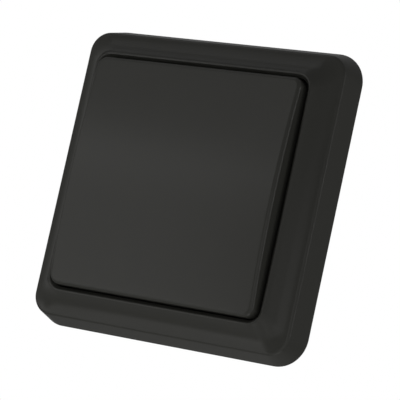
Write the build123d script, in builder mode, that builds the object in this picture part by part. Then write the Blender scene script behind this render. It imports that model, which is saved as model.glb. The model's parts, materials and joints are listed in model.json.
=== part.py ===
from build123d import *
import os
from math import hypot, radians, sin, sqrt

os.makedirs("parts", exist_ok=True)

# A wireless wall switch: one large rocker in a square cover frame, on a flat plate with no wall box.
# X runs to the right, Z runs up and -Y points out of the wall, whose surface is Y = 0.
# The origin is the middle of the back face. A "front" or "back" below is a distance out of the wall,
# so a profile that lies flat against the wall is drawn on Plane.XZ.offset(distance).

# Cover frame: drafted sides up to a crease, then a concave cove up to a raised rim
frame_width = 80.0
frame_corner_radius = 8.0
frame_wall = 1.6
side_height = 6.8
side_inset = 2.05
crease_corner_radius = 5.2
crease_fillet = 1.0
cove_sag = 0.85
rim_corner_radius = 4.0
rim_land = 0.5
rim_fillet = 0.25
collar_wall = 1.3
collar_gap = 1.8

# Rocker: its face is an arc across the tilt axis
rocker_width = 60.8
rocker_gap = 1.0
rocker_corner_radius = 2.6
rocker_draft = 0.25
rocker_crown_radius = 241.0
rocker_edge_fillet = 1.0
rocker_skin = 2.0
rocker_skirt_wall = 1.7
rocker_skirt_depth = 7.5
rocker_stand = 2.0
leg_length = 1.2
leg_width = 4.0
leg_thickness = 3.0
leg_round = 1.2
rib_thickness = 1.2
rib_depth = 2.6
rib_gap = 2.0

# Tilt and trunnions
tilt_limit = 2.4
trunnion_radius = 1.5
trunnion_gap = 1.5
running_clearance = 0.05
jaw_side_gap = 0.4
jaw_wall = 1.55
jaw_mouth = 2.2

# Mounting plate
plate_thickness = 2.2
plate_clearance = 0.3
pad_length = 34.0
pad_width = 16.0
pad_thickness = 0.8
pad_spacing = 33.0
pad_corner_radius = 2.0
wall_screw_circle = 60.0
wall_screw_count = 4
wall_screw_angle = 45.0
wall_screw_hole_radius = 1.9
wall_screw_head_radius = 3.8
wall_screw_head_depth = 1.0
frame_arm_width = 8.0
frame_arm_spacing = 38.0
arm_thickness = 1.2
barb_height = 1.1
barb_reach = 0.7
catch_height = 1.1
catch_reach = 1.0
stop_spacing = 40.0
stop_length = 6.0
stop_gap = 0.1

# Transmitter module
module_corner_radius = 2.5
module_wall = 1.4
module_floor = 1.0
lid_thickness = 1.0
arm_drop = 1.0
module_arm_width = 8.0
module_arm_spacing = 26.0
window_clearance = 0.3
fit_clearance = 0.1

# Circuit board and the posts under it
board_standoff = 1.4
board_thickness = 1.0
board_clearance = 0.3
post_inset = 3.1
post_radius = 2.2
screw_radius = 1.0
screw_head_radius = 1.9
screw_head_height = 0.9
screw_head_depth = 1.1
screw_drive_width = 0.5
screw_drive_depth = 0.5
pilot_floor = 0.4
spring_post_radius = 1.35
spring_post_height = 1.5
support_radius = 6.0
support_wall = 1.0

# Coin cell and its contact strips
cell_diameter = 20.0
cell_height = 3.2
cell_cap_height = 0.4
cell_cap_inset = 1.2
cell_fillet = 0.3
strip_thickness = 0.3
strip_width = 5.0
strip_foot_length = 4.0
strip_overlap = 4.5
strip_corner_radius = 1.2
well_clearance = 0.3
well_wall = 1.0

# Plungers, their springs and the contacts that they close
plunger_wall = 0.55
plunger_stand = 0.5
plunger_roof = 1.2
plunger_edge = 0.4
flange_length = 11.0
flange_width = 7.0
flange_thickness = 1.0
flange_gap = 1.2
flange_corner_radius = 1.0
bridge_thickness = 0.25
bridge_hole_clearance = 0.15
stud_spacing = 8.4
stud_radius = 0.9
stud_height = 0.7
stud_pad_radius = 1.4
stud_pad_thickness = 0.15
closing_gap = 0.07
touch_gap = 0.1
spring_wire = 0.5
spring_turns = 5
spring_clearance = 0.25

# Components on the board
chip_size = 5.0
chip_height = 0.9
chip_z = 4.5
crystal_length = 3.2
crystal_width = 2.5
crystal_height = 0.7
crystal_corner_radius = 0.3
crystal_z = 10.5
capacitor_length = 1.6
capacitor_width = 0.8
capacitor_height = 0.8
capacitor_pitch = 3.0
capacitor_z = -6.5
antenna_length = 26.0
antenna_bar = 1.0
antenna_height = 3.0
antenna_leg_pitch = 5.0
antenna_edge_gap = 0.8
antenna_gap = 1.7

# Across the module: the cell sets the plungers' places, and they set the module's size
cell_radius = cell_diameter / 2
well_radius = cell_radius + well_clearance
well_outer_radius = well_radius + well_wall
lever_arm = well_outer_radius + flange_gap + flange_width / 2
antenna_z = lever_arm + flange_width / 2 + antenna_gap
board_half = antenna_z + strip_thickness + antenna_edge_gap
tray_half = board_half + board_clearance
module_half = tray_half + module_wall
module_width = 2 * module_half
post_spacing = 2 * (tray_half - post_inset)
spring_bore_radius = spring_post_radius + 2 * spring_clearance + spring_wire + fit_clearance
plunger_radius = spring_bore_radius + plunger_wall

# Heights out of the wall, stacked up from the wall to the rocker's face
board_back = plate_thickness + module_floor + board_standoff
board_front = board_back + board_thickness
cell_back = board_front + strip_thickness
cell_front = cell_back + cell_height
throw = lever_arm * sin(radians(tilt_limit))
stud_front = board_front + stud_height
bridge_back = stud_front + closing_gap + throw
flange_back = bridge_back + bridge_thickness
flange_front = flange_back + flange_thickness
lid_back = max(cell_front + strip_thickness, flange_front + throw + board_clearance)
lid_front = lid_back + lid_thickness
pivot_front = lid_front - board_clearance - trunnion_radius
module_split = pivot_front - trunnion_radius - fit_clearance
plunger_front = lid_front + throw + plunger_stand
leg_end = plunger_front + touch_gap


def crown_drop(z):
    """How far the rocker's face lies below its middle at a distance z from the tilt axis."""
    return rocker_crown_radius - sqrt(rocker_crown_radius**2 - z**2)


rocker_half = rocker_width / 2
rocker_front = leg_end + leg_length + rocker_skin + crown_drop(lever_arm)
rocker_end_front = rocker_front - crown_drop(rocker_half)
skirt_back = rocker_end_front - rocker_skirt_depth
rim_front = rocker_end_front - rocker_stand

# Half widths of the frame
foot_half = frame_width / 2
crease_half = foot_half - side_inset
opening_half = rocker_half + rocker_gap
rim_half = opening_half + rim_land
collar_half = opening_half + collar_wall
opening_corner_radius = rim_corner_radius - rim_land
collar_back = plate_thickness + collar_gap

# The trunnions end short of the rocker's skirt
trunnion_length = rocker_half - rocker_skirt_wall - trunnion_gap - module_half


def side_half(front):
    """Half width of the frame's drafted side at a distance out of the wall."""
    return foot_half - side_inset * front / side_height


def cove_level(share, depth=0.0):
    """Half width, corner radius and height of the cove at a share of its way from crease to rim.

    The section is a chord with a parabolic sag. A depth is measured square to the surface, into the wall.
    """
    run = crease_half - rim_half
    rise = rim_front - side_height
    chord = hypot(run, rise)
    sag = 4 * cove_sag * share * (1 - share)
    slope = 4 * cove_sag * (1 - 2 * share)
    across = run + slope * rise / chord
    up = rise - slope * run / chord
    length = hypot(across, up)
    half_width = crease_half - run * share - sag * rise / chord - depth * up / length
    height = side_height + rise * share - sag * run / chord - depth * across / length
    radius = crease_corner_radius + (rim_corner_radius - crease_corner_radius) * share
    return half_width, radius, height


cove_shares = [0.0, 0.2, 0.4, 0.6, 0.8, 1.0]

# Space under the cove: bounded by the cove's inner surface and, lower down, wider than the sides
with BuildPart() as cove_space:
    for share in cove_shares:
        half_width, radius, height = cove_level(share, frame_wall)
        with BuildSketch(Plane.XZ.offset(height)):
            RectangleRounded(2 * half_width, 2 * half_width, radius)
    loft()
    with BuildSketch(Plane.XZ):
        Rectangle(frame_width, frame_width)
    extrude(amount=cove_level(0.0, frame_wall)[2])

# Hollow of the frame, between its drafted sides and the collar round the opening
with BuildPart() as frame_hollow:
    for height in (0.0, rim_front):
        with BuildSketch(Plane.XZ.offset(height)):
            hollow_width = 2 * (side_half(height) - frame_wall)
            RectangleRounded(hollow_width, hollow_width, crease_corner_radius)
    loft(ruled=True)
    add(cove_space.part, mode=Mode.INTERSECT)
    with BuildSketch(Plane.XZ.offset(collar_back)):
        RectangleRounded(2 * collar_half, 2 * collar_half, rim_corner_radius)
    extrude(amount=rim_front, mode=Mode.SUBTRACT)

# Snap arms of the frame reach up to just under the cove
frame_arm_front = side_height - frame_wall
barb_back = frame_arm_front - barb_height
catch_back = barb_back - fit_clearance - catch_height
catch_half = side_half(barb_back) - frame_wall - catch_reach
frame_arm_half = catch_half - fit_clearance
plate_half = side_half(plate_thickness) - frame_wall - plate_clearance

# Cover frame: one hollow moulding, with catches inside for the plate's snap arms
with BuildPart() as cover_frame:
    with BuildSketch(Plane.XZ):
        RectangleRounded(frame_width, frame_width, frame_corner_radius)
    with BuildSketch(Plane.XZ.offset(side_height)):
        RectangleRounded(2 * crease_half, 2 * crease_half, crease_corner_radius)
    loft(ruled=True)
    for share in cove_shares:
        half_width, radius, height = cove_level(share)
        with BuildSketch(Plane.XZ.offset(height)):
            RectangleRounded(2 * half_width, 2 * half_width, radius)
    loft()
    crease_edges = cover_frame.edges().filter_by_position(
        Axis.Y, -side_height - fit_clearance, -side_height + fit_clearance
    )
    fillet(crease_edges, crease_fillet)
    add(frame_hollow.part, mode=Mode.SUBTRACT)
    with BuildSketch(Plane.XZ):
        RectangleRounded(2 * opening_half, 2 * opening_half, opening_corner_radius)
    extrude(amount=2 * rim_front, mode=Mode.SUBTRACT)
    rim_edges = cover_frame.faces().sort_by(Axis.Y)[0].inner_wires()[0].edges()
    fillet(rim_edges, rim_fillet)
    with BuildSketch(Plane.XZ.offset(catch_back)):
        with PolarLocations(catch_half + catch_reach, 4):
            with Locations((0, -frame_arm_spacing / 2), (0, frame_arm_spacing / 2)):
                Rectangle(2 * catch_reach, frame_arm_width)
    extrude(amount=catch_height)
cover_frame.part.label = "cover_frame"
export_step(cover_frame.part, "parts/cover_frame.step")

# Rocker, first the hollow under its skin
crown_centre = (rocker_crown_radius - rocker_front, 0)
with BuildPart() as rocker_hollow:
    with BuildSketch(Plane.XZ):
        hollow_width = rocker_width - 2 * rocker_skirt_wall
        RectangleRounded(hollow_width, hollow_width, rocker_corner_radius / 2)
    extrude(amount=rocker_front)
    with BuildSketch(Plane.YZ):
        with Locations(crown_centre):
            Circle(rocker_crown_radius - rocker_skin)
    extrude(amount=rocker_width, both=True, mode=Mode.INTERSECT)

jaw_start = module_half + jaw_side_gap
jaw_end = module_half + trunnion_length - jaw_side_gap
jaw_bore_radius = trunnion_radius + running_clearance
jaw_radius = jaw_bore_radius + jaw_wall
skin_middle = rocker_front - rocker_skin / 2
leg_root = skin_middle - crown_drop(lever_arm)
rib_z = module_half + rib_gap + rib_thickness / 2
rib_root = skin_middle - crown_drop(rib_z)

# Rocker: crowned key with a skirt, two legs over the plungers and a jaw over each trunnion
with BuildPart() as rocker:
    with BuildSketch(Plane.XZ.offset(skirt_back)):
        RectangleRounded(rocker_width, rocker_width, rocker_corner_radius)
    with BuildSketch(Plane.XZ.offset(rocker_front + rocker_skin)):
        drafted_width = rocker_width - 2 * rocker_draft
        RectangleRounded(drafted_width, drafted_width, rocker_corner_radius)
    loft(ruled=True)
    with BuildSketch(Plane.YZ):
        with Locations(crown_centre):
            Circle(rocker_crown_radius)
    extrude(amount=rocker_width, both=True, mode=Mode.INTERSECT)
    fillet(rocker.faces().sort_by(Axis.Y)[0].edges(), rocker_edge_fillet)
    add(rocker_hollow.part, mode=Mode.SUBTRACT)
    for side in (-1, 1):
        with BuildSketch(Plane.YZ) as leg_profile:
            with Locations((-leg_end, side * lever_arm)):
                Rectangle(leg_root - leg_end, leg_thickness, align=(Align.MAX, Align.CENTER))
            fillet(leg_profile.vertices().group_by(Axis.X)[-1], leg_round)
        extrude(amount=leg_width / 2, both=True)
        with BuildSketch(Plane.YZ):
            with Locations((-rib_root, side * rib_z)):
                Rectangle(rocker_skin / 2 + rib_depth, rib_thickness, align=(Align.MIN, Align.CENTER))
        extrude(amount=rocker_half - rocker_skirt_wall / 2, both=True)
    for start in (jaw_start, -jaw_end):
        with BuildSketch(Plane.YZ.offset(start)):
            with Locations((-pivot_front, 0)):
                Circle(jaw_radius)
                Rectangle(skin_middle - pivot_front, 2 * jaw_radius, align=(Align.MAX, Align.CENTER))
                Circle(jaw_bore_radius, mode=Mode.SUBTRACT)
                Rectangle(2 * jaw_radius, jaw_mouth, align=(Align.MIN, Align.CENTER), mode=Mode.SUBTRACT)
        extrude(amount=jaw_end - jaw_start)
rocker.part.label = "rocker"
export_step(rocker.part, "parts/rocker.step")

# Mounting plate: pockets for the pads at the back, screw holes that the module covers, snap arms, and stops
# for the rocker's skirt
module_arm_front = module_split - arm_drop
window_back = module_arm_front - barb_height - window_clearance
stop_front = skirt_back - rocker_half * sin(radians(tilt_limit)) - stop_gap
module_arm_half = module_half + fit_clearance
with BuildPart() as mounting_plate:
    with BuildSketch(Plane.XZ):
        RectangleRounded(2 * plate_half, 2 * plate_half, crease_corner_radius)
    extrude(amount=plate_thickness)
    with BuildSketch(Plane.XZ):
        with Locations((0, -pad_spacing / 2), (0, pad_spacing / 2)):
            RectangleRounded(
                pad_length + 2 * fit_clearance, pad_width + 2 * fit_clearance, pad_corner_radius
            )
    extrude(amount=pad_thickness, mode=Mode.SUBTRACT)
    with Locations(Plane.XZ.offset(plate_thickness)):
        with PolarLocations(wall_screw_circle / 2, wall_screw_count, start_angle=wall_screw_angle):
            CounterBoreHole(wall_screw_hole_radius, wall_screw_head_radius, wall_screw_head_depth)
    with BuildSketch(Plane.XZ.offset(plate_thickness)):
        with PolarLocations(frame_arm_half, 4):
            with Locations((0, -frame_arm_spacing / 2), (0, frame_arm_spacing / 2)):
                Rectangle(arm_thickness, frame_arm_width, align=(Align.MAX, Align.CENTER))
    extrude(amount=frame_arm_front - plate_thickness)
    with BuildSketch(Plane.XZ.offset(barb_back)):
        with PolarLocations(frame_arm_half, 4):
            with Locations((0, -frame_arm_spacing / 2), (0, frame_arm_spacing / 2)):
                Rectangle(barb_reach, frame_arm_width, align=(Align.MIN, Align.CENTER))
    extrude(amount=barb_height)
    for side in (-1, 1):
        away = Align.MIN if side > 0 else Align.MAX
        inward = Align.MAX if side > 0 else Align.MIN
        arm_spots = [
            (side * module_arm_half, -module_arm_spacing / 2),
            (side * module_arm_half, module_arm_spacing / 2),
        ]
        with BuildSketch(Plane.XZ.offset(plate_thickness)):
            with Locations(*arm_spots):
                Rectangle(arm_thickness, module_arm_width, align=(away, Align.CENTER))
        extrude(amount=module_arm_front - plate_thickness)
        with BuildSketch(Plane.XZ.offset(module_arm_front - barb_height)):
            with Locations(*arm_spots):
                Rectangle(barb_reach, module_arm_width, align=(inward, Align.CENTER))
        extrude(amount=barb_height)
    with BuildSketch(Plane.XZ.offset(plate_thickness)):
        with GridLocations(stop_spacing, rocker_width - rocker_skirt_wall, 2, 2):
            Rectangle(stop_length, rocker_skirt_wall)
    extrude(amount=stop_front - plate_thickness)
mounting_plate.part.label = "mounting_plate"
export_step(mounting_plate.part, "parts/mounting_plate.step")

# Adhesive pads: foam, sunk in the plate's back so that their faces lie on the wall
for pad_name, side in (("adhesive_pad_upper", 1), ("adhesive_pad_lower", -1)):
    with BuildPart() as adhesive_pad:
        with BuildSketch(Plane.XZ):
            with Locations((0, side * pad_spacing / 2)):
                RectangleRounded(pad_length, pad_width, pad_corner_radius)
        extrude(amount=pad_thickness)
    adhesive_pad.part.label = pad_name
    export_step(adhesive_pad.part, f"parts/{pad_name}.step")

# Module base: a tray whose posts carry the board, take the screws and centre the springs
spring_spots = [(0, -lever_arm), (0, lever_arm)]
pilot_radius = screw_radius + running_clearance
pilot_back = plate_thickness + pilot_floor
with BuildPart() as module_base:
    with BuildSketch(Plane.XZ.offset(plate_thickness)):
        RectangleRounded(module_width, module_width, module_corner_radius)
    extrude(amount=module_split - plate_thickness)
    with BuildSketch(Plane.XZ.offset(plate_thickness + module_floor)):
        RectangleRounded(2 * tray_half, 2 * tray_half, module_corner_radius - module_wall / 2)
    extrude(amount=module_split, mode=Mode.SUBTRACT)
    with BuildSketch(Plane.XZ.offset(plate_thickness + module_floor)):
        with GridLocations(post_spacing, post_spacing, 2, 2):
            Circle(post_radius)
        Circle(support_radius)
        Circle(support_radius - support_wall, mode=Mode.SUBTRACT)
    extrude(amount=board_standoff)
    with BuildSketch(Plane.XZ.offset(plate_thickness + module_floor)):
        with Locations(*spring_spots):
            Circle(spring_post_radius)
    extrude(amount=board_standoff + board_thickness + spring_post_height)
    with BuildSketch(Plane.XZ.offset(pilot_back)):
        with GridLocations(post_spacing, post_spacing, 2, 2):
            Circle(pilot_radius)
    extrude(amount=board_back - pilot_back, mode=Mode.SUBTRACT)
    with BuildSketch(Plane.XZ.offset(window_back)):
        with GridLocations(module_width, module_arm_spacing, 2, 2):
            Rectangle(2 * module_wall, module_arm_width + 2 * window_clearance)
    extrude(amount=barb_height + 2 * window_clearance, mode=Mode.SUBTRACT)
module_base.part.label = "module_base"
export_step(module_base.part, "parts/module_base.step")

# Module cover: lid with screw columns, a well for the cell, guides for the plungers and the two trunnions
screw_clear_radius = screw_radius + fit_clearance
plunger_bore_radius = plunger_radius + running_clearance
foot_start = well_outer_radius + fit_clearance
with BuildPart() as module_cover:
    with BuildSketch(Plane.XZ.offset(module_split)):
        RectangleRounded(module_width, module_width, module_corner_radius)
    extrude(amount=lid_front - module_split)
    with BuildSketch(Plane.XZ.offset(module_split)):
        RectangleRounded(2 * tray_half, 2 * tray_half, module_corner_radius - module_wall / 2)
    extrude(amount=lid_back - module_split, mode=Mode.SUBTRACT)
    with BuildSketch(Plane.XZ.offset(board_front)):
        with GridLocations(post_spacing, post_spacing, 2, 2):
            Circle(post_radius)
    extrude(amount=lid_front - board_front)
    with BuildSketch(Plane.XZ.offset(board_front + fit_clearance)):
        Circle(well_outer_radius)
        Circle(well_radius, mode=Mode.SUBTRACT)
        with Locations((well_radius, 0)):
            Rectangle(strip_foot_length, strip_width + 2 * window_clearance, mode=Mode.SUBTRACT)
    extrude(amount=lid_front - board_front - fit_clearance)
    with BuildSketch(Plane.XZ.offset(board_front)):
        Circle(well_radius)
        with Locations(*spring_spots):
            Circle(plunger_bore_radius)
        with GridLocations(post_spacing, post_spacing, 2, 2):
            Circle(screw_clear_radius)
    extrude(amount=lid_front - board_front, mode=Mode.SUBTRACT)
    with BuildSketch(Plane.XZ.offset(lid_front - screw_head_depth)):
        with GridLocations(post_spacing, post_spacing, 2, 2):
            Circle(screw_head_radius + fit_clearance)
    extrude(amount=screw_head_depth, mode=Mode.SUBTRACT)
    for start in (module_half - module_wall / 2, -module_half - trunnion_length):
        with BuildSketch(Plane.YZ.offset(start)):
            with Locations((-pivot_front, 0)):
                Circle(trunnion_radius)
        extrude(amount=module_wall / 2 + trunnion_length)
module_cover.part.label = "module_cover"
export_step(module_cover.part, "parts/module_cover.step")

# Module screws: four self-tapping screws with a slot in the head
screw_head_back = lid_front - screw_head_depth
with BuildPart() as module_screws:
    with BuildSketch(Plane.XZ.offset(pilot_back + fit_clearance)):
        with GridLocations(post_spacing, post_spacing, 2, 2):
            Circle(screw_radius)
    extrude(amount=screw_head_back - pilot_back - fit_clearance)
    with BuildSketch(Plane.XZ.offset(screw_head_back)):
        with GridLocations(post_spacing, post_spacing, 2, 2):
            Circle(screw_head_radius)
    extrude(amount=screw_head_height)
    with BuildSketch(Plane.XZ.offset(screw_head_back + screw_head_height - screw_drive_depth)):
        with GridLocations(post_spacing, post_spacing, 2, 2):
            Rectangle(2 * screw_head_radius, screw_drive_width)
    extrude(amount=screw_drive_depth, mode=Mode.SUBTRACT)
module_screws.part.label = "module_screws"
export_step(module_screws.part, "parts/module_screws.step")

# Circuit board, with holes for the screws and for the spring posts
with BuildPart() as circuit_board:
    with BuildSketch(Plane.XZ.offset(board_back)):
        RectangleRounded(2 * board_half, 2 * board_half, module_corner_radius / 2)
        with GridLocations(post_spacing, post_spacing, 2, 2):
            Circle(screw_clear_radius, mode=Mode.SUBTRACT)
        with Locations(*spring_spots):
            Circle(spring_post_radius + fit_clearance, mode=Mode.SUBTRACT)
    extrude(amount=board_thickness)
circuit_board.part.label = "circuit_board"
export_step(circuit_board.part, "parts/circuit_board.step")

# Coin cell: its cap faces the board and its can faces the rocker
with BuildPart() as coin_cell:
    with BuildSketch(Plane.XZ.offset(cell_back)):
        Circle(cell_radius - cell_cap_inset)
    extrude(amount=cell_cap_height)
    with BuildSketch(Plane.XZ.offset(cell_back + cell_cap_height)):
        Circle(cell_radius)
    extrude(amount=cell_height - cell_cap_height)
    fillet(coin_cell.edges().group_by(Axis.Y)[0], cell_fillet)
coin_cell.part.label = "coin_cell"
export_step(coin_cell.part, "parts/coin_cell.step")

# Positive contact: a strip bent from a foot on the board, up a leg and over the cell
strip_rise = cell_front + strip_thickness - board_front
finger_end = foot_start + strip_thickness
finger_length = finger_end - cell_radius + strip_overlap
with BuildPart() as battery_contact_positive:
    with BuildSketch(Plane.XY):
        with Locations((foot_start, -board_front)):
            Rectangle(strip_foot_length, strip_thickness, align=(Align.MIN, Align.MAX))
            Rectangle(strip_thickness, strip_rise, align=(Align.MIN, Align.MAX))
        with Locations((finger_end, -cell_front)):
            Rectangle(finger_length, strip_thickness, align=(Align.MAX, Align.MAX))
    extrude(amount=strip_width / 2, both=True)
battery_contact_positive.part.label = "battery_contact_positive"
export_step(battery_contact_positive.part, "parts/battery_contact_positive.step")

# Negative contact: a flat strip on the board, under the middle of the cell
with BuildPart() as battery_contact_negative:
    with BuildSketch(Plane.XZ.offset(board_front)):
        RectangleRounded(cell_radius, strip_width, strip_corner_radius)
    extrude(amount=strip_thickness)
battery_contact_negative.part.label = "battery_contact_negative"
export_step(battery_contact_negative.part, "parts/battery_contact_negative.step")

# Plungers, and what each one works: its spring, its contact bridge and the two studs on the board
spring_radius = spring_post_radius + spring_clearance + spring_wire / 2
spring_back = board_front + spring_wire / 2
spring_front = plunger_front - plunger_roof - spring_wire / 2
spring_length = spring_front - spring_back
for place, side in (("top", 1), ("bottom", -1)):
    plunger_z = side * lever_arm
    with BuildPart() as plunger:
        with BuildSketch(Plane.XZ.offset(flange_back)):
            with Locations((0, plunger_z)):
                RectangleRounded(flange_length, flange_width, flange_corner_radius)
        extrude(amount=flange_thickness)
        with BuildSketch(Plane.XZ.offset(flange_back)):
            with Locations((0, plunger_z)):
                Circle(plunger_radius)
        extrude(amount=plunger_front - flange_back)
        fillet(plunger.edges().group_by(Axis.Y)[0], plunger_edge)
        with BuildSketch(Plane.XZ.offset(flange_back)):
            with Locations((0, plunger_z)):
                Circle(spring_bore_radius)
        extrude(amount=plunger_front - plunger_roof - flange_back, mode=Mode.SUBTRACT)
    plunger.part.label = f"plunger_{place}"
    export_step(plunger.part, f"parts/plunger_{place}.step")

    with BuildPart() as contact_bridge:
        with BuildSketch(Plane.XZ.offset(bridge_back)):
            with Locations((0, plunger_z)):
                RectangleRounded(flange_length, flange_width, flange_corner_radius)
                Circle(spring_bore_radius + bridge_hole_clearance, mode=Mode.SUBTRACT)
        extrude(amount=bridge_thickness)
    contact_bridge.part.label = f"contact_bridge_{place}"
    export_step(contact_bridge.part, f"parts/contact_bridge_{place}.step")

    with BuildPart() as fixed_contacts:
        for radius, height in ((stud_pad_radius, stud_pad_thickness), (stud_radius, stud_height)):
            with BuildSketch(Plane.XZ.offset(board_front)):
                with Locations((-stud_spacing / 2, plunger_z), (stud_spacing / 2, plunger_z)):
                    Circle(radius)
            extrude(amount=height)
    fixed_contacts.part.label = f"fixed_contacts_{place}"
    export_step(fixed_contacts.part, f"parts/fixed_contacts_{place}.step")

    with BuildPart() as return_spring:
        with BuildLine() as coil:
            Helix(
                spring_length / spring_turns,
                spring_length,
                spring_radius,
                center=(0, -spring_back, plunger_z),
                direction=(0, -1, 0),
            )
        with BuildSketch(Plane(origin=coil.line @ 0, z_dir=coil.line % 0)):
            Circle(spring_wire / 2)
        sweep(is_frenet=True)
    return_spring.part.label = f"return_spring_{place}"
    export_step(return_spring.part, f"parts/return_spring_{place}.step")

# Board components stand in the column between the cell's well and the board's left edge
column_x = -(well_outer_radius + board_half) / 2
with BuildPart() as radio_chip:
    with BuildSketch(Plane.XZ.offset(board_front)):
        with Locations((column_x, chip_z)):
            Rectangle(chip_size, chip_size)
    extrude(amount=chip_height)
radio_chip.part.label = "radio_chip"
export_step(radio_chip.part, "parts/radio_chip.step")

with BuildPart() as crystal:
    with BuildSketch(Plane.XZ.offset(board_front)):
        with Locations((column_x, crystal_z)):
            RectangleRounded(crystal_length, crystal_width, crystal_corner_radius)
    extrude(amount=crystal_height)
crystal.part.label = "crystal"
export_step(crystal.part, "parts/crystal.step")

with BuildPart() as chip_capacitors:
    with BuildSketch(Plane.XZ.offset(board_front)):
        with Locations((column_x, capacitor_z)):
            with GridLocations(capacitor_pitch, capacitor_pitch, 2, 3):
                Rectangle(capacitor_length, capacitor_width)
    extrude(amount=capacitor_height)
chip_capacitors.part.label = "chip_capacitors"
export_step(chip_capacitors.part, "parts/chip_capacitors.step")

# Antenna: a stamped strip that stands on two feet along the board's top edge
with BuildPart() as antenna:
    with BuildSketch(Plane.XY.offset(antenna_z)):
        with Locations((-antenna_length / 2, -board_front - antenna_height)):
            Rectangle(antenna_length, antenna_bar, align=(Align.MIN, Align.MIN))
        with Locations(
            (-antenna_length / 2, -board_front), (-antenna_length / 2 + antenna_leg_pitch, -board_front)
        ):
            Rectangle(antenna_bar, antenna_height, align=(Align.MIN, Align.MAX))
    extrude(amount=strip_thickness)
antenna.part.label = "antenna"
export_step(antenna.part, "parts/antenna.step")
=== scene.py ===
import json
from math import atan, cos, hypot, pi, radians, sin, sqrt, tan

import bmesh
import bpy
from mathutils import Matrix, Quaternion, Vector


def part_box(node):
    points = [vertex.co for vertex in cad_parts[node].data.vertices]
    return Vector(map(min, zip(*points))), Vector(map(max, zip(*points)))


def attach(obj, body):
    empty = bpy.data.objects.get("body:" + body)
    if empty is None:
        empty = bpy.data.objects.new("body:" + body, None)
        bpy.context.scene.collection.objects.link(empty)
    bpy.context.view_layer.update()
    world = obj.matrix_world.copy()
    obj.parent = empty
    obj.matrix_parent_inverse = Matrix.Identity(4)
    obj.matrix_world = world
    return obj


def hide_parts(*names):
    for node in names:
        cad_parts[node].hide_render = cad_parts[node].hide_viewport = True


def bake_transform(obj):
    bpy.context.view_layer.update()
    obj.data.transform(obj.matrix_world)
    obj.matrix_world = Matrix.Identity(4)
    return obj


# A wireless wall switch, put together here from the wall outwards. X runs to the right, Z up, and -Y out of
# the wall, whose surface is Y = 0. A "front" is a distance out of the wall. Sizes are in metres.
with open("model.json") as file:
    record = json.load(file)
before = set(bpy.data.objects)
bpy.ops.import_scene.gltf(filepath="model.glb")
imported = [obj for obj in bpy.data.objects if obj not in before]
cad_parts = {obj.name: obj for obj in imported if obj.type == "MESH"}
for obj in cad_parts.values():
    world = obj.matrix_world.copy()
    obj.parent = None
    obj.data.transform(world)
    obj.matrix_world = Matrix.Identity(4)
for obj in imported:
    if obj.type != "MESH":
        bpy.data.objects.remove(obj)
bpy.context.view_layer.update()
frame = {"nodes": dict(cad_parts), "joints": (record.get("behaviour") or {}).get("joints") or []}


# Mounting plate: injection-moulded black ABS, the first piece on the wall. Its front carries the snap arms of
# the cover frame and of the module, and its mould was spark-eroded, which leaves a fine matt grain.
merge_distance = 0.000001
flat_angle = radians(0.5)


def start_material(name):
    """Starts a material, and returns it with its node tree, its shader and its texture coordinates."""
    material = bpy.data.materials.new(name)
    material.use_nodes = True
    tree = material.node_tree
    return material, tree, tree.nodes["Principled BSDF"], tree.nodes.new("ShaderNodeTexCoord")


def noise(tree, place, scale, detail):
    """Adds a cloudy pattern, and returns its value."""
    pattern = tree.nodes.new("ShaderNodeTexNoise")
    pattern.inputs["Scale"].default_value = scale
    pattern.inputs["Detail"].default_value = detail
    tree.links.new(place, pattern.inputs["Vector"])
    return pattern.outputs["Fac"]


def mixed_colour(tree, share, first, second):
    """Mixes two colours by a pattern's value."""
    mix = tree.nodes.new("ShaderNodeMix")
    mix.data_type = "RGBA"
    mix.inputs["A"].default_value = (*first, 1.0)
    mix.inputs["B"].default_value = (*second, 1.0)
    tree.links.new(share, mix.inputs["Factor"])
    return mix.outputs["Result"]


def vary_roughness(tree, shader, share, roughness, spread):
    """Lets the roughness vary with a pattern's value, by a spread to each side."""
    levels = tree.nodes.new("ShaderNodeMapRange")
    levels.inputs["To Min"].default_value = roughness - spread
    levels.inputs["To Max"].default_value = roughness + spread
    tree.links.new(share, levels.inputs["Value"])
    tree.links.new(levels.outputs["Result"], shader.inputs["Roughness"])


def add_relief(tree, shader, share, height):
    """Raises the surface by a pattern's value."""
    relief = tree.nodes.new("ShaderNodeBump")
    relief.inputs["Distance"].default_value = height
    tree.links.new(share, relief.inputs["Height"])
    tree.links.new(relief.outputs["Normal"], shader.inputs["Normal"])


def moulded_plastic(name, colour, roughness, gloss, grain_size, grain_height, skin_gloss=0.0):
    """A moulded plastic: faintly cloudy, with its mould's grain as relief and perhaps a glossier skin."""
    cloud_scale = 90.0
    cloudiness = 0.04
    skin_roughness = 0.22
    roughness_spread = 0.03
    material, tree, shader, place = start_material(name)
    shader.inputs["Specular IOR Level"].default_value = gloss
    shader.inputs["Coat Weight"].default_value = skin_gloss
    shader.inputs["Coat Roughness"].default_value = skin_roughness
    clouds = noise(tree, place.outputs["Object"], cloud_scale, 3.0)
    darker = [(1 - cloudiness) * part for part in colour]
    lighter = [(1 + cloudiness) * part for part in colour]
    tree.links.new(mixed_colour(tree, clouds, darker, lighter), shader.inputs["Base Color"])
    grain = noise(tree, place.outputs["Object"], 1.0 / grain_size, 2.0)
    vary_roughness(tree, shader, grain, roughness, roughness_spread)
    add_relief(tree, shader, grain, grain_height)
    return material


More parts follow.
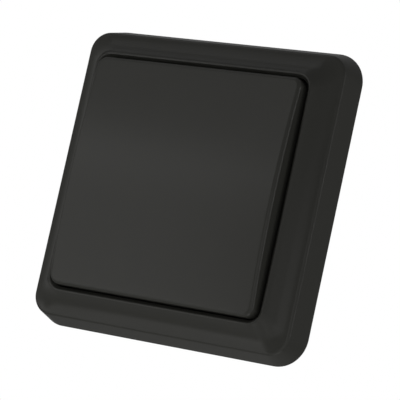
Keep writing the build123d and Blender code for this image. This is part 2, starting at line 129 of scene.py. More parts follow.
def finish_piece(bm, name, material, body, edge_angle=35.0, edge_width=0.0):
    """Turns a bmesh into a smooth-shaded piece, rounds its sharp edges and lets it ride on its body."""
    bmesh.ops.remove_doubles(bm, verts=bm.verts, dist=merge_distance)
    bmesh.ops.recalc_face_normals(bm, faces=bm.faces)
    mesh = bpy.data.meshes.new(name)
    bm.to_mesh(mesh)
    bm.free()
    mesh.shade_smooth()
    if "custom_normal" in mesh.attributes:
        mesh.attributes.remove(mesh.attributes["custom_normal"])
    mesh.set_sharp_from_angle(angle=radians(edge_angle))
    mesh.materials.append(material)
    piece = bpy.data.objects.new(name, mesh)
    bpy.context.scene.collection.objects.link(piece)
    if edge_width:
        edges = piece.modifiers.new("edges", "BEVEL")
        edges.width = edge_width
        edges.segments = 2
        edges.limit_method = "ANGLE"
        edges.angle_limit = radians(edge_angle)
    flats = piece.modifiers.new("flats", "WEIGHTED_NORMAL")
    flats.keep_sharp = True
    if body:
        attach(piece, body)
    return piece


def refine(node, name, material, body="housing", edge_width=0.0001):
    """Stands a finer copy of a frame solid in its place, its flat faces merged and its edges softened."""
    bm = bmesh.new()
    bm.from_mesh(frame["nodes"][node].data)
    bmesh.ops.remove_doubles(bm, verts=bm.verts, dist=merge_distance)
    bmesh.ops.dissolve_limit(bm, angle_limit=flat_angle, verts=bm.verts, edges=bm.edges)
    piece = finish_piece(bm, name, material, body, edge_width=edge_width)
    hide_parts(node)
    return piece


black_abs = (0.0200, 0.0200, 0.0176)
plate_plastic = moulded_plastic("plate_plastic", black_abs, 0.55, 0.1, 0.00022, 0.000008)
refine("mounting_plate", "wall_plate", plate_plastic, edge_width=0.00015)

# Adhesive pads: two strips of closed-cell foam tape, pressed into shallow pockets in the plate's back. A waxed
# liner still covers the glue, and is peeled off when the switch is stuck to a wall.
pad_length = 0.034
pad_width = 0.016
pad_thickness = 0.0008
pad_spacing = 0.033
pad_corner = 0.002
pad_edge = 0.00015
liner_thickness = 0.00006
corner_steps = 16


def outline(bm, width, height, corner, front, centre=(0.0, 0.0)):
    """Draws a rounded rectangle that lies flat at a distance out of the wall, and returns its face."""
    known = set(bm.faces)
    turn = Matrix.Rotation(radians(90), 4, "X")
    place = Matrix.Translation((centre[0], -front, centre[1])) @ turn @ Matrix.Diagonal((width, height, 1, 1))
    corners = bmesh.ops.create_grid(bm, x_segments=1, y_segments=1, size=0.5, matrix=place)["verts"]
    bmesh.ops.bevel(
        bm, geom=corners, offset=corner, offset_type="OFFSET", segments=corner_steps, profile=0.5,
        affect="VERTICES", material=-1,
    )
    return next(face for face in bm.faces if face not in known)


def outline_loop(bm, *sizes, **options):
    """Draws the same rounded rectangle as a loop of edges with no face."""
    face = outline(bm, *sizes, **options)
    edges = list(face.edges)
    bmesh.ops.delete(bm, geom=[face], context="FACES_ONLY")
    return edges


def bridge(bm, loops):
    """Skins a row of loops, each joined to the next."""
    for first, second in zip(loops, loops[1:]):
        bmesh.ops.bridge_loops(bm, edges=first + second)


def closed_skin(bm, loops):
    """Skins a row of loops and closes both ends."""
    bridge(bm, loops)
    bmesh.ops.edgeloop_fill(bm, edges=loops[0])
    bmesh.ops.edgeloop_fill(bm, edges=loops[-1])


foam, foam_tree, foam_shader, foam_place = start_material("pad_foam")
foam_shader.inputs["Roughness"].default_value = 0.85
foam_cells = foam_tree.nodes.new("ShaderNodeTexVoronoi")
foam_cells.inputs["Scale"].default_value = 3200.0
foam_tree.links.new(foam_place.outputs["Object"], foam_cells.inputs["Vector"])
cell_wall = foam_cells.outputs["Distance"]
foam_tint = mixed_colour(foam_tree, cell_wall, (0.52, 0.52, 0.50), (0.66, 0.66, 0.64))
foam_tree.links.new(foam_tint, foam_shader.inputs["Base Color"])
add_relief(foam_tree, foam_shader, cell_wall, 0.00004)

liner_paper, liner_tree, liner_shader, liner_place = start_material("liner_paper")
liner_shader.inputs["Roughness"].default_value = 0.38
fibres = noise(liner_tree, liner_place.outputs["Object"], 700.0, 5.0)
paper_tint = mixed_colour(liner_tree, fibres, (0.66, 0.62, 0.50), (0.74, 0.71, 0.60))
liner_tree.links.new(paper_tint, liner_shader.inputs["Base Color"])
add_relief(liner_tree, liner_shader, fibres, 0.00003)

foam_levels = [
    (pad_edge, liner_thickness),
    (0.0, liner_thickness + pad_edge),
    (0.0, pad_thickness - pad_edge),
    (pad_edge, pad_thickness),
]
for pad_name, side in (("upper", 1), ("lower", -1)):
    middle = (0.0, side * pad_spacing / 2)
    bm = bmesh.new()
    closed_skin(bm, [
        outline_loop(bm, pad_length - 2 * inset, pad_width - 2 * inset, pad_corner, front, centre=middle)
        for inset, front in foam_levels
    ])
    pad = finish_piece(bm, f"foam_pad_{pad_name}", foam, "housing", edge_angle=60.0)
    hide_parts(f"adhesive_pad_{pad_name}")

    bm = bmesh.new()
    closed_skin(bm, [
        outline_loop(bm, pad_length, pad_width, pad_corner, front, centre=middle)
        for front in (0.0, liner_thickness)
    ])
    finish_piece(bm, f"pad_liner_{pad_name}", liner_paper, "housing")

# Module tray: the open half of the transmitter's case, moulded in grey ABS. Four posts take the screws and
# carry the board, two thin ones centre the springs, and the plate's inner arms snap into its four windows.
case_plastic = moulded_plastic("case_plastic", (0.42, 0.43, 0.43), 0.50, 0.4, 0.0002, 0.000006)
refine("module_base", "module_tray", case_plastic, edge_width=0.00015)

# Circuit board: glass-epoxy laminate with green solder resist over its copper, cut out by a router. It lies on
# the tray's posts, and the case's screws pass through it.
laminate, board_tree, board_shader, board_place = start_material("laminate")
board_shader.inputs["Roughness"].default_value = 0.32
track_cells = board_tree.nodes.new("ShaderNodeTexVoronoi")
track_cells.feature = "F1"
track_cells.distance = "MANHATTAN"
track_cells.inputs["Scale"].default_value = 420.0
board_tree.links.new(board_place.outputs["Object"], track_cells.inputs["Vector"])
track_bands = board_tree.nodes.new("ShaderNodeMath")
track_bands.operation = "PINGPONG"
track_bands.inputs[1].default_value = 0.09
board_tree.links.new(track_cells.outputs["Distance"], track_bands.inputs[0])
copper = board_tree.nodes.new("ShaderNodeMapRange")
copper.inputs["From Min"].default_value = 0.04
copper.inputs["From Max"].default_value = 0.055
board_tree.links.new(track_bands.outputs["Value"], copper.inputs["Value"])
tracks = copper.outputs["Result"]
resist_tint = mixed_colour(board_tree, tracks, (0.010, 0.110, 0.034), (0.020, 0.190, 0.060))
facing = board_tree.nodes.new("ShaderNodeSeparateXYZ")
board_tree.links.new(board_place.outputs["Normal"], facing.inputs["Vector"])
flatness = board_tree.nodes.new("ShaderNodeMath")
flatness.operation = "ABSOLUTE"
board_tree.links.new(facing.outputs["Y"], flatness.inputs[0])
cut_edge = board_tree.nodes.new("ShaderNodeMix")
cut_edge.data_type = "RGBA"
cut_edge.inputs["A"].default_value = (0.42, 0.38, 0.20, 1.0)
board_tree.links.new(flatness.outputs["Value"], cut_edge.inputs["Factor"])
board_tree.links.new(resist_tint, cut_edge.inputs["B"])
board_tree.links.new(cut_edge.outputs["Result"], board_shader.inputs["Base Color"])
add_relief(board_tree, board_shader, tracks, 0.00003)
refine("circuit_board", "board_laminate", laminate, edge_width=0.00003)


# Board components: the radio chip in moulded epoxy on soldered lands, the crystal in its plated can, six
# ceramic capacitors with plated ends, and a gold-flashed antenna stamped from strip. All are soldered flat.
def plated_metal(name, colour, roughness, brushing):
    """A plated metal with fine rubbed lines, drawn out along the axes where the brushing scale is small."""
    line_shade = 0.12
    line_depth = 0.000003
    roughness_spread = 0.06
    material, tree, shader, place = start_material(name)
    shader.inputs["Metallic"].default_value = 1.0
    stretch = tree.nodes.new("ShaderNodeMapping")
    stretch.inputs["Scale"].default_value = brushing
    tree.links.new(place.outputs["Object"], stretch.inputs["Vector"])
    lines = noise(tree, stretch.outputs["Vector"], 1.0, 4.0)
    darker = [(1 - line_shade) * part for part in colour]
    tree.links.new(mixed_colour(tree, lines, darker, colour), shader.inputs["Base Color"])
    vary_roughness(tree, shader, lines, roughness, roughness_spread)
    add_relief(tree, shader, lines, line_depth)
    return material


def block(bm, size, centre):
    """Adds a block and returns its vertices."""
    place = Matrix.Translation(centre) @ Matrix.Diagonal((*size, 1.0))
    return bmesh.ops.create_cube(bm, size=1.0, matrix=place)["verts"]


solder = plated_metal("solder", (0.66, 0.66, 0.64), 0.35, (2500.0, 2500.0, 2500.0))
epoxy = moulded_plastic("epoxy", (0.020, 0.020, 0.022), 0.55, 0.4, 0.00012, 0.000003)
can_plating = plated_metal("can_plating", (0.70, 0.70, 0.68), 0.28, (9000.0, 300.0, 300.0))
fired_ceramic = moulded_plastic("fired_ceramic", (0.42, 0.27, 0.15), 0.40, 0.5, 0.00008, 0.000002)
gold_flash = plated_metal("gold_flash", (0.78, 0.56, 0.28), 0.30, (7000.0, 400.0, 400.0))

refine("radio_chip", "chip_body", epoxy, edge_width=0.00008)
chip_low, chip_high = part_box("radio_chip")
board_face = chip_high.y
land_size = 0.00030
land_length = 0.00042
land_height = 0.00005
land_pitch = 0.00050
land_count = 8
chip_centre = (chip_low + chip_high) / 2
chip_half = (chip_high.x - chip_low.x) / 2
bm = bmesh.new()
for side in (-1, 1):
    for place in range(land_count):
        along = (place - (land_count - 1) / 2) * land_pitch
        height = board_face - land_height / 2
        spot = (chip_centre.x + side * chip_half, height, chip_centre.z + along)
        block(bm, (land_length, land_height, land_size), spot)
        spot = (chip_centre.x + along, height, chip_centre.z + side * chip_half)
        block(bm, (land_size, land_height, land_length), spot)
finish_piece(bm, "chip_lands", solder, "housing", edge_width=0.00001)

refine("crystal", "crystal_can", can_plating, edge_width=0.00012)

capacitor_low, capacitor_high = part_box("chip_capacitors")
capacitor_length = 0.0016
capacitor_width = 0.0008
end_length = 0.00035
end_wall = 0.00003
capacitor_height = capacitor_high.y - capacitor_low.y
column_spacing = capacitor_high.x - capacitor_low.x - capacitor_length
row_length = capacitor_high.z - capacitor_low.z - capacitor_width
y = (capacitor_low.y + capacitor_high.y) / 2
outer_size = (capacitor_length, capacitor_height, capacitor_width)
body_size = [size - 2 * end_wall for size in outer_size]
bodies = bmesh.new()
ends = bmesh.new()
for column in (0, 1):
    for row in (0, 0.5, 1):
        x = capacitor_low.x + capacitor_length / 2 + column * column_spacing
        z = capacitor_low.z + capacitor_width / 2 + row * row_length
        block(bodies, body_size, (x, y, z))
        for side in (-1, 1):
            end_x = x + side * (capacitor_length - end_length) / 2
            block(ends, (end_length, capacitor_height, capacitor_width), (end_x, y, z))
capacitors = finish_piece(
    bodies, "capacitor_bodies", fired_ceramic, "housing", edge_width=0.00004
)
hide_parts("chip_capacitors")
finish_piece(ends, "capacitor_ends", solder, "housing", edge_width=0.00006)
refine("antenna", "antenna_strip", gold_flash, edge_width=0.00004)

# Contacts: four gold-flashed studs on the board, which the bridges close, and two strips of nickel-plated
# spring steel for the cell. The flat one lies on the board, and the other is bent up and over the cell.
strip_metal = plated_metal("strip_metal", (0.66, 0.64, 0.58), 0.30, (300.0, 9000.0, 9000.0))
for end in ("top", "bottom"):
    refine(f"fixed_contacts_{end}", f"contact_studs_{end}", gold_flash, edge_width=0.00006)
refine("battery_contact_negative", "cell_strip_negative", strip_metal, edge_width=0.00004)

strip_low, strip_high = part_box("battery_contact_positive")
strip_thickness = 0.0003
foot_length = 0.0040
bend_radius = 0.0006
foot_x = strip_high.x - foot_length
finger_y = strip_low.y + strip_thickness
bm = bmesh.new()
path = [(strip_high.x, strip_high.y), (foot_x, strip_high.y), (foot_x, finger_y), (strip_low.x, finger_y)]
spots = [bm.verts.new((x, y, strip_low.z)) for x, y in path]
runs = [bm.edges.new(pair) for pair in zip(spots, spots[1:])]
drawn = bmesh.ops.extrude_edge_only(bm, edges=runs)["geom"]
far_side = [item for item in drawn if isinstance(item, bmesh.types.BMVert)]
bmesh.ops.translate(bm, verts=far_side, vec=(0, 0, strip_high.z - strip_low.z))
folds = [edge for edge in bm.edges if len(edge.link_faces) == 2]
bmesh.ops.bevel(
    bm, geom=folds, offset=bend_radius, offset_type="OFFSET", segments=8, profile=0.5,
    affect="EDGES", material=-1,
)
bmesh.ops.recalc_face_normals(bm, faces=bm.faces)
bmesh.ops.solidify(bm, geom=bm.faces[:], thickness=-strip_thickness)
positive = finish_piece(bm, "cell_strip_positive", strip_metal, "housing", edge_width=0.00004)
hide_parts("battery_contact_positive")

# Coin cell: a lithium cell 20 mm across. Its steel can is crimped over a plastic seal, and its smaller cap
# faces the board. It slides into the well of the case's lid and lies on the flat strip.
cell_low, cell_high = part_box("coin_cell")
cell_radius = (cell_high.x - cell_low.x) / 2
cell_round = 0.0004
seal_radius = cell_radius - 0.0008
cap_radius = cell_radius - 0.0012
cap_height = 0.0004
cap_face = cell_high.y
can_back = cap_face - cap_height
can_floor = can_back - cap_height
seal_back = can_back - cap_height / 2
seal_face = can_back + cap_height / 4
can_plate = plated_metal("can_plate", (0.62, 0.62, 0.60), 0.30, (400.0, 400.0, 8000.0))
seal_plastic = moulded_plastic("seal_plastic", (0.30, 0.29, 0.27), 0.45, 0.4, 0.0002, 0.000002)


def turned(profile, rounds, cuts=96):
    """Turns a profile of radius and Y about the switch's middle, with some of its corners rounded."""
    bm = bmesh.new()
    spots = [bm.verts.new((radius, y, 0)) for radius, y in profile]
    edges = [bm.edges.new(pair) for pair in zip(spots, spots[1:])]
    for spot, radius in zip(spots, rounds):
        if radius:
            bmesh.ops.bevel(
                bm, geom=[spot], offset=radius, offset_type="OFFSET", segments=8, profile=0.5,
                affect="VERTICES", material=-1,
            )
    bmesh.ops.spin(
        bm, geom=bm.verts[:] + bm.edges[:], cent=(0, 0, 0), axis=(0, 1, 0), angle=2 * pi, steps=cuts,
        use_merge=True,
    )
    return bm


can = turned(
    [
        (0, cell_low.y), (cell_radius, cell_low.y), (cell_radius, can_back), (seal_radius, can_back),
        (seal_radius, can_floor), (0, can_floor),
    ],
    [0, cell_round, cell_round, 0, 0, 0],
)
cell_can = finish_piece(can, "cell_can", can_plate, "housing")
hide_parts("coin_cell")
cap = turned(
    [(0, can_floor), (cap_radius, can_floor), (cap_radius, cap_face), (0, cap_face)],
    [0, 0, cap_height / 2, 0],
)
finish_piece(cap, "cell_cap", can_plate, "housing")
seal = turned(
    [
        (cap_radius, seal_back), (seal_radius, seal_back), (seal_radius, seal_face), (cap_radius, seal_face),
        (cap_radius, seal_back),
    ],
    [0, 0, 0, 0, 0],
)
finish_piece(seal, "cell_seal", seal_plastic, "housing")

# Return springs: two coils of bright steel wire with closed ends. Each stands on the board round its post,
# inside its plunger, and stretches and shortens between the two.
wire = 0.0005
wire_sides = 12
coil_radius = 0.00185
coil_steps = 48
closed_turns = 0.75
easing_turns = 0.5
open_turns = 2.5
spring_wire_metal = plated_metal("spring_wire_metal", (0.55, 0.55, 0.54), 0.25, (5000.0, 5000.0, 5000.0))
for end in ("top", "bottom"):
    spring_low, spring_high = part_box(f"return_spring_{end}")
    spring_z = (spring_low.z + spring_high.z) / 2
    start = spring_high.y - wire / 2
    finish = spring_low.y + wire / 2
    closed_rise = (2 * closed_turns + easing_turns) * wire
    open_pitch = (start - finish - closed_rise) / (open_turns + easing_turns)
    easing_pitch = (wire + open_pitch) / 2
    bm = bmesh.new()
    place = Matrix.Translation((coil_radius, start, spring_z))
    bmesh.ops.create_circle(bm, cap_ends=True, segments=wire_sides, radius=wire / 2, matrix=place)
    last = bm.verts[:] + bm.edges[:] + bm.faces[:]
    for turns, pitch in (
        (closed_turns, wire), (easing_turns, easing_pitch), (open_turns, open_pitch),
        (easing_turns, easing_pitch), (closed_turns, wire),
    ):
        steps = round(turns * coil_steps)
        last = bmesh.ops.spin(
            bm, geom=last, cent=(0, start, spring_z), axis=(0, 1, 0), dvec=(0, -pitch / coil_steps, 0),
            angle=2 * pi * turns, steps=steps,
        )["geom_last"]
    spring = finish_piece(bm, f"coil_spring_{end}", spring_wire_metal, None, edge_angle=60.0)
    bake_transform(spring)
    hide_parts(f"return_spring_{end}")

# Plungers: natural acetal pins that slide in the lid. Each has a flange under the lid, and carries a
# gold-flashed bronze bridge that closes the two studs on the board when the rocker's leg presses it in.
acetal = moulded_plastic("acetal", (0.78, 0.77, 0.72), 0.35, 0.5, 0.0003, 0.000002)
for end in ("top", "bottom"):
    refine(f"contact_bridge_{end}", f"bridge_{end}", gold_flash, f"plunger_{end}", 0.00003)
    refine(f"plunger_{end}", f"pin_{end}", acetal, f"plunger_{end}", 0.0001)

# Module lid: the other half of the transmitter's case, in the same grey ABS. It guides the plungers, holds the
# cell in a round well, and carries the two trunnions that the rocker's jaws snap over.
refine("module_cover", "module_lid", case_plastic, edge_width=0.00015)

# Case screws: four zinc-plated thread-forming screws with a slotted pan head. They go through the lid's columns
# and the board, and cut their own thread in the tray's posts.
screw_low, screw_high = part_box("module_screws")
head_radius = 0.0019
head_height = 0.0009
head_round = 0.00045
slot_width = 0.0005
slot_depth = 0.0005
core_radius = 0.00078
thread_radius = 0.0010
thread_root = 0.9 * core_radius
thread_pitch = 0.0008
root_share = 0.4
crest_share = 0.05
thread_steps = 32
tip_length = 0.0010
under_head = screw_low.y + head_height
screw_metal = plated_metal("screw_metal", (0.50, 0.50, 0.49), 0.32, (1500.0, 1500.0, 1500.0))


def combine(solid, other, operation):
    """Unites two solids into one skin, or cuts the second out of the first."""
    objects = []
    for each in (solid, other):
        bmesh.ops.remove_doubles(each, verts=each.verts, dist=merge_distance)
        bmesh.ops.recalc_face_normals(each, faces=each.faces)
        mesh = bpy.data.meshes.new("combined")
        each.to_mesh(mesh)
        each.free()
        objects.append(bpy.data.objects.new("combined", mesh))
        bpy.context.scene.collection.objects.link(objects[-1])
    boolean = objects[0].modifiers.new("combine", "BOOLEAN")
    boolean.operation = operation
    boolean.solver = "EXACT"
    boolean.object = objects[1]
    result = bmesh.new()
    result.from_object(objects[0], bpy.context.evaluated_depsgraph_get())
    for each in objects:
        mesh = each.data
        bpy.data.objects.remove(each)
        bpy.data.meshes.remove(mesh)
    return result


screw = turned(
    [
        (0, screw_low.y), (head_radius, screw_low.y), (head_radius, under_head), (core_radius, under_head),
        (core_radius, screw_high.y - tip_length), (0, screw_high.y),
    ],
    [0, head_round, 0, 0, 0, 0], cuts=48,
)
slot = bmesh.new()
block(slot, (3 * head_radius, 2 * slot_depth, slot_width), (0, screw_low.y, 0))
screw = combine(screw, slot, "DIFFERENCE")
thread = bmesh.new()
thread_start = under_head + thread_pitch
ridge = [
    (thread_root, -root_share), (thread_radius, -crest_share),
    (thread_radius, crest_share), (thread_root, root_share),
]
thread.faces.new([thread.verts.new((r, thread_start + share * thread_pitch, 0)) for r, share in ridge])
thread_turns = (screw_high.y - tip_length - thread_start) / thread_pitch
bmesh.ops.spin(
    thread, geom=thread.verts[:] + thread.edges[:] + thread.faces[:], cent=(0, thread_start, 0), axis=(0, 1, 0),
    dvec=(0, thread_pitch / thread_steps, 0), angle=2 * pi * thread_turns,
    steps=round(thread_turns * thread_steps),
)
screw = combine(screw, thread, "UNION")
screw_reach = screw_high.x - head_radius
whole = screw.verts[:] + screw.edges[:] + screw.faces[:]
bmesh.ops.translate(screw, verts=screw.verts, vec=(screw_reach, 0, screw_reach))
for x, z in ((-2, 0), (0, -2), (-2, -2)):
    copy = bmesh.ops.duplicate(screw, geom=whole)["geom"]
    corners = [item for item in copy if isinstance(item, bmesh.types.BMVert)]
    bmesh.ops.translate(screw, verts=corners, vec=(x * screw_reach, 0, z * screw_reach))
screws = finish_piece(screw, "case_screws", screw_metal, "housing", edge_angle=40.0)
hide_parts("module_screws")

# Cover frame: one hollow black moulding with a satin face. Its sides lean in to a crease, from which a cove
# rises to a narrow rim. Inside the rim a collar tapers in and surrounds the rocker, and eight catches in the
# hollow hold the plate's arms.
foot_half = 0.040
foot_corner = 0.0080
side_height = 0.0068
crease_half = 0.03795
crease_corner = 0.0052
crease_round = 0.0010
cove_sag = 0.00085
rim_half = 0.0319
rim_front = 0.0114767
rim_corner = 0.0040
rim_round = 0.0003
mouth_half = 0.0314
mouth_corner = 0.0035
mouth_round = 0.00025
mouth_taper = 0.0008
taper_depth = 0.0011
wall = 0.0016
collar_half = 0.0327
collar_back = 0.0040
catch_back = 0.0029
catch_front = 0.0040
catch_reach = 0.0010
catch_width = 0.0080
catch_spacing = 0.0380
score_tolerance = 0.0000001


def side_half(front):
    """Half width of the leaning side at a distance out of the wall."""
    return foot_half - (foot_half - crease_half) * front / side_height


def cove_level(share, depth=0.0):
    """Half width, corner radius and front of the cove, at a share of its way from the crease to the rim."""
    run = crease_half - rim_half
    rise = rim_front - side_height
    chord = hypot(run, rise)
    sag = 4 * cove_sag * share * (1 - share)
    slope = 4 * cove_sag * (1 - 2 * share)
    across = run + slope * rise / chord
    up = rise - slope * run / chord
    length = hypot(across, up)
    half = crease_half - run * share - sag * rise / chord - depth * up / length
    front = side_height + rise * share - sag * run / chord - depth * across / length
    return half, crease_corner + (rim_corner - crease_corner) * share, front


frame_plastic = moulded_plastic("frame_plastic", black_abs, 0.5, 0.0, 0.00016, 0.000004, skin_gloss=0.15)

cove_steps = 20
outer_levels = [(foot_half, foot_corner, 0.0), (crease_half, crease_corner, side_height)]
outer_levels += [cove_level(step / cove_steps) for step in range(2, cove_steps + 1)]
inner_levels = [
    (mouth_half, mouth_corner, rim_front),
    (mouth_half - mouth_taper, mouth_corner - mouth_taper, rim_front - taper_depth),
    (mouth_half - mouth_taper, mouth_corner - mouth_taper, collar_back),
    (collar_half, rim_corner, collar_back),
]
inner_levels += [cove_level(share, wall) for share in (0.8, 0.6, 0.4, 0.2, 0.0)]
eaves = cove_level(0.0, wall)[2]
inner_levels += [
    (side_half(eaves) - wall, crease_corner, eaves),
    (side_half(0.0) - wall, crease_corner, 0.0),
]
bm = bmesh.new()
frame_loops = [
    outline_loop(bm, 2 * half, 2 * half, corner, front) for half, corner, front in outer_levels + inner_levels
]
bridge(bm, frame_loops + frame_loops[:1])


def round_edges(bm, edges, radius, turn, steps):
    """Rounds edges whose two faces turn by an angle, to a radius."""
    bmesh.ops.bevel(
        bm, geom=edges, offset=radius * tan(turn / 2), offset_type="OFFSET", segments=steps, profile=0.5,
        affect="EDGES", clamp_overlap=True, material=-1,
    )


def score(bm, spot, direction):
    """Adds edges all round the piece where a plane meets it."""
    bmesh.ops.bisect_plane(
        bm, geom=bm.verts[:] + bm.edges[:] + bm.faces[:], dist=score_tolerance,
        plane_co=spot, plane_no=direction,
    )


lean = atan((foot_half - crease_half) / side_height)
cove_chord = atan((rim_front - side_height) / (crease_half - rim_half))
cove_bow = atan(4 * cove_sag / hypot(rim_front - side_height, crease_half - rim_half))
rim_loop = frame_loops[len(outer_levels) - 1]
mouth_loop = frame_loops[len(outer_levels)]
round_edges(bm, frame_loops[1], crease_round, pi / 2 - lean - cove_chord + cove_bow, 8)
round_edges(bm, rim_loop, rim_round, cove_chord + cove_bow, 5)
round_edges(bm, mouth_loop, mouth_round, pi / 2, 5)

for direction in ((1, 0, 0), (0, 0, 1)):
    for place in (-1, 1):
        for edge in (-1, 1):
            offset = (place * catch_spacing + edge * catch_width) / 2
            score(bm, Vector(direction) * offset, direction)
for front in (catch_back, catch_front):
    score(bm, (0, -front, 0), (0, 1, 0))
bmesh.ops.recalc_face_normals(bm, faces=bm.faces)


def is_catch_seat(face):
    """Tells whether a face of the inner wall is where a catch stands."""
    spot = face.calc_center_median()
    out, along = max(abs(spot.x), abs(spot.z)), min(abs(spot.x), abs(spot.z))
    on_wall = side_half(catch_front) - 2 * wall < out < side_half(catch_front) - wall / 2
    in_height = catch_back < -spot.y < catch_front
    return on_wall and in_height and abs(along - catch_spacing / 2) < catch_width / 2


for seat in [face for face in bm.faces if is_catch_seat(face)]:
    inward = Vector((round(seat.normal.x), 0, round(seat.normal.z)))
    raised = bmesh.ops.extrude_face_region(bm, geom=[seat])["geom"]
    corners = [item for item in raised if isinstance(item, bmesh.types.BMVert)]
    bmesh.ops.translate(bm, verts=corners, vec=catch_reach * inward)
    bmesh.ops.delete(bm, geom=[seat], context="FACES_ONLY")
cover = finish_piece(bm, "cover_moulding", frame_plastic, "housing", edge_width=0.00012)
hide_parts("cover_frame")

# Rocker: one black moulding with the same satin face as the frame, crowned across its tilt axis. Under the
# skin stand two legs that press the plungers, two ribs, and two jaws that snap over the module's trunnions.
pivot = Vector(frame["joints"][0]["pos_m"])
rocker_half = 0.0304
rocker_corner = 0.0026
rocker_lean = 0.00017
rocker_back = 0.00598
rocker_front = -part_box("rocker")[0].y
crown_radius = 0.241
edge_round = 0.0010
edge_steps = 10
crown_steps = 40
skin = 0.0020
skirt_wall = 0.0017
skirt_corner = 0.0013
skirt_lead = 0.0003
leg_width = 0.0040
leg_thickness = 0.0030
leg_back = 0.01167
leg_round = 0.0012
lever_arm = 0.0160
rib_thickness = 0.0012
rib_depth = 0.0026
rib_z = 0.0266
jaw_middle = 0.0256
jaw_width = 0.0024
jaw_bore = 0.00155
jaw_radius = 0.0031
jaw_lip = radians(30)
jaw_steps = 60
jaw_slack = 0.0002
level_slack = 0.00004


def crown_drop(z, radius=crown_radius):
    """How far a surface that follows the crown lies below its own middle, at a height above the tilt axis."""
    return radius - sqrt(radius**2 - z**2)


rocker_plastic = moulded_plastic("rocker_plastic", black_abs, 0.5, 0.0, 0.00016, 0.000004, skin_gloss=0.15)

shell = bmesh.new()
face_half = rocker_half - rocker_lean
inner_half = rocker_half - skirt_wall
rocker_loops = [
    outline_loop(shell, 2 * inner_half, 2 * inner_half, skirt_corner, rocker_front - skin),
    outline_loop(shell, 2 * inner_half, 2 * inner_half, skirt_corner, rocker_back + skirt_lead),
    outline_loop(shell, 2 * rocker_half, 2 * rocker_half, rocker_corner, rocker_back),
]
for step in range(edge_steps + 1):
    turn = pi / 2 * step / edge_steps
    inset = edge_round * (1 - cos(turn))
    half = face_half - inset
    front = rocker_front - edge_round * (1 - sin(turn))
    rocker_loops.append(outline_loop(shell, 2 * half, 2 * half, rocker_corner - inset, front))
closed_skin(shell, rocker_loops)
straight = face_half - rocker_corner
for step in range(crown_steps + 1):
    score(shell, (0, 0, straight * (2 * step / crown_steps - 1)), (0, 0, 1))
below_face = rocker_front - (edge_round + skin) / 2
below_ceiling = rocker_back + skin
for spot in shell.verts:
    if -spot.co.y > below_face:
        spot.co.y += crown_drop(spot.co.z)
    elif -spot.co.y > below_ceiling:
        spot.co.y += crown_drop(spot.co.z, crown_radius - skin)

fittings = bmesh.new()
leg_front = rocker_front - skin / 2 - crown_drop(lever_arm)
rib_front = rocker_front - skin / 2 - crown_drop(rib_z)
rib_back = rib_front - skin / 2 - rib_depth
for side in (-1, 1):
    leg_middle = (0, -(leg_front + leg_back) / 2, side * lever_arm)
    leg = block(fittings, (leg_width, leg_front - leg_back, leg_thickness), leg_middle)
    tip = [
        edge for edge in fittings.edges
        if edge.verts[0] in leg and abs(edge.verts[0].co.x - edge.verts[1].co.x) > leg_width / 2
        and -edge.verts[0].co.y < leg_front - leg_round
    ]
    bmesh.ops.bevel(
        fittings, geom=tip, offset=leg_round, offset_type="OFFSET", segments=6, profile=0.5,
        affect="EDGES", material=-1,
    )
    rib_middle = (0, -(rib_front + rib_back) / 2, side * rib_z)
    block(fittings, (2 * rocker_half - skirt_wall, rib_front - rib_back, rib_thickness), rib_middle)

    section_place = (
        Matrix.Translation(pivot + Vector((side * jaw_middle, 0, 0))) @ Matrix.Rotation(jaw_lip, 4, "X")
        @ Matrix.Translation((0, (jaw_bore + jaw_radius) / 2, 0))
        @ Matrix.Diagonal((jaw_width, jaw_radius - jaw_bore, 1.0, 1.0))
    )
    known = set(fittings.faces)
    lip = bmesh.ops.create_grid(fittings, x_segments=1, y_segments=1, size=0.5, matrix=section_place)["verts"]
    lip_faces = [face for face in fittings.faces if face not in known]
    bmesh.ops.spin(
        fittings, geom=lip + lip_faces[0].edges[:] + lip_faces, cent=pivot, axis=(1, 0, 0),
        angle=2 * pi - 2 * jaw_lip, steps=jaw_steps,
    )
    for spot in fittings.verts:
        from_pivot = hypot(spot.co.y - pivot.y, spot.co.z)
        outside = jaw_bore + jaw_slack < from_pivot < 2 * jaw_radius
        if outside and spot.co.y < pivot.y - level_slack:
            spot.co.y = -(rocker_front - skin / 2)
whole_key = combine(shell, fittings, "UNION")
key = finish_piece(whole_key, "rocker_key", rocker_plastic, "rocker", edge_width=0.0001)
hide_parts("rocker")

# Studio: a pale floor well below the switch, and a white surround. Two large soft lamps stand in front at the
# left and at the right, a tall narrow one beside the switch draws its right edges, and one lights its back.
# Smaller ones fill in from above, from below and from behind the camera.
floor_level = -0.70
floor_half = 3.0
floor_paleness = 0.60
soft_light_strength = 0.12
white = (1.0, 1.0, 1.0, 1.0)


def seen_directly(tree):
    """Gives 1 to the camera, to reflections and through glass, and 0 to the light that falls on the switch."""
    rays = tree.nodes.new("ShaderNodeLightPath")
    seen = tree.nodes.new("ShaderNodeMath")
    seen.operation = "MAXIMUM"
    tree.links.new(rays.outputs["Is Camera Ray"], seen.inputs[0])
    tree.links.new(rays.outputs["Is Glossy Ray"], seen.inputs[1])
    through = tree.nodes.new("ShaderNodeMath")
    through.operation = "MAXIMUM"
    tree.links.new(seen.outputs["Value"], through.inputs[0])
    tree.links.new(rays.outputs["Is Transmission Ray"], through.inputs[1])
    return through.outputs["Value"]


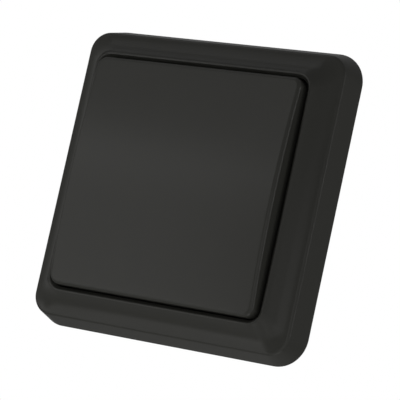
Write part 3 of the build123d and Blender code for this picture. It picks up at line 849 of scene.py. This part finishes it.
bm = bmesh.new()
floor_place = Matrix.Translation((0, 0, floor_level))
bmesh.ops.create_grid(bm, x_segments=1, y_segments=1, size=floor_half, matrix=floor_place)
floor_mesh = bpy.data.meshes.new("floor")
bm.to_mesh(floor_mesh)
bm.free()
floor = bpy.data.objects.new("floor", floor_mesh)
bpy.context.scene.collection.objects.link(floor)
floor_paint = bpy.data.materials.new("floor_paint")
floor_paint.use_nodes = True
floor_tree = floor_paint.node_tree
floor_shader = floor_tree.nodes["Principled BSDF"]
floor_shader.inputs["Base Color"].default_value = (0.8, 0.8, 0.8, 1.0)
paleness = floor_tree.nodes.new("ShaderNodeMath")
paleness.operation = "MULTIPLY"
paleness.inputs[1].default_value = floor_paleness
floor_tree.links.new(seen_directly(floor_tree), paleness.inputs[0])
floor_tree.links.new(paleness.outputs["Value"], floor_shader.inputs["Emission Strength"])
floor_mesh.materials.append(floor_paint)

surround = bpy.data.worlds.new("surround")
surround.use_nodes = True
bpy.context.scene.world = surround
sky = surround.node_tree
soft_light = sky.nodes["Background"]
soft_light.inputs["Color"].default_value = white
soft_light.inputs["Strength"].default_value = soft_light_strength
backdrop = sky.nodes.new("ShaderNodeBackground")
backdrop.inputs["Color"].default_value = white
choice = sky.nodes.new("ShaderNodeMixShader")
sky.links.new(seen_directly(sky), choice.inputs["Fac"])
sky.links.new(soft_light.outputs["Background"], choice.inputs[1])
sky.links.new(backdrop.outputs["Background"], choice.inputs[2])
sky.links.new(choice.outputs["Shader"], sky.nodes["World Output"].inputs["Surface"])


def softbox(name, azimuth, elevation, distance, width, height, power):
    """A lamp that faces the switch, at angles measured from straight in front of it."""
    turn, rise = radians(azimuth), radians(elevation)
    spot = distance * Vector((sin(turn) * cos(rise), -cos(turn) * cos(rise), sin(rise)))
    lamp = bpy.data.lights.new(name, "AREA")
    lamp.shape = "RECTANGLE"
    lamp.size = width
    lamp.size_y = height
    lamp.energy = power
    holder = bpy.data.objects.new(name, lamp)
    holder.location = spot
    holder.rotation_euler = (-spot).to_track_quat("-Z", "Y").to_euler()
    holder.visible_camera = False
    bpy.context.scene.collection.objects.link(holder)


softbox("front_left", -43.0, -4.0, 0.6, 0.36, 0.36, 1.20)
softbox("upper_left", -34.0, 22.0, 0.6, 0.32, 0.32, 0.48)
softbox("below_left", -38.0, -34.0, 0.6, 0.25, 0.45, 0.90)
softbox("front_right", 50.0, -20.0, 0.6, 0.80, 0.60, 1.38)
softbox("beside_right", 102.0, 7.0, 0.6, 0.06, 0.50, 1.10)
softbox("below_front", 40.0, -60.0, 0.4, 0.40, 0.40, 0.30)
softbox("below_right", 112.0, -68.0, 0.3, 0.12, 0.12, 0.14)
softbox("above", -60.0, 60.0, 0.6, 0.30, 0.30, 0.26)
softbox("over_camera", 31.0, -8.0, 0.6, 0.30, 0.30, 0.24)
softbox("behind", 168.0, 8.0, 0.6, 0.30, 0.30, 2.4)

camera_spot = Vector((0.27983, -0.46269, -0.06444))
camera_aim = Vector((0.00558, -0.0077, -0.00273))
camera_roll = Quaternion((0, 0, 1), radians(12.384))
camera_data = bpy.data.cameras.new("camera")
camera_data.lens = 191.1
camera_data.sensor_width = 36.0
camera_data.clip_start = 0.01
camera = bpy.data.objects.new("camera", camera_data)
camera.location = camera_spot
camera.rotation_mode = "QUATERNION"
camera.rotation_quaternion = (camera_aim - camera_spot).to_track_quat("-Z", "Y") @ camera_roll
bpy.context.scene.collection.objects.link(camera)
bpy.context.scene.camera = camera
bpy.context.scene.view_settings.view_transform = "Standard"
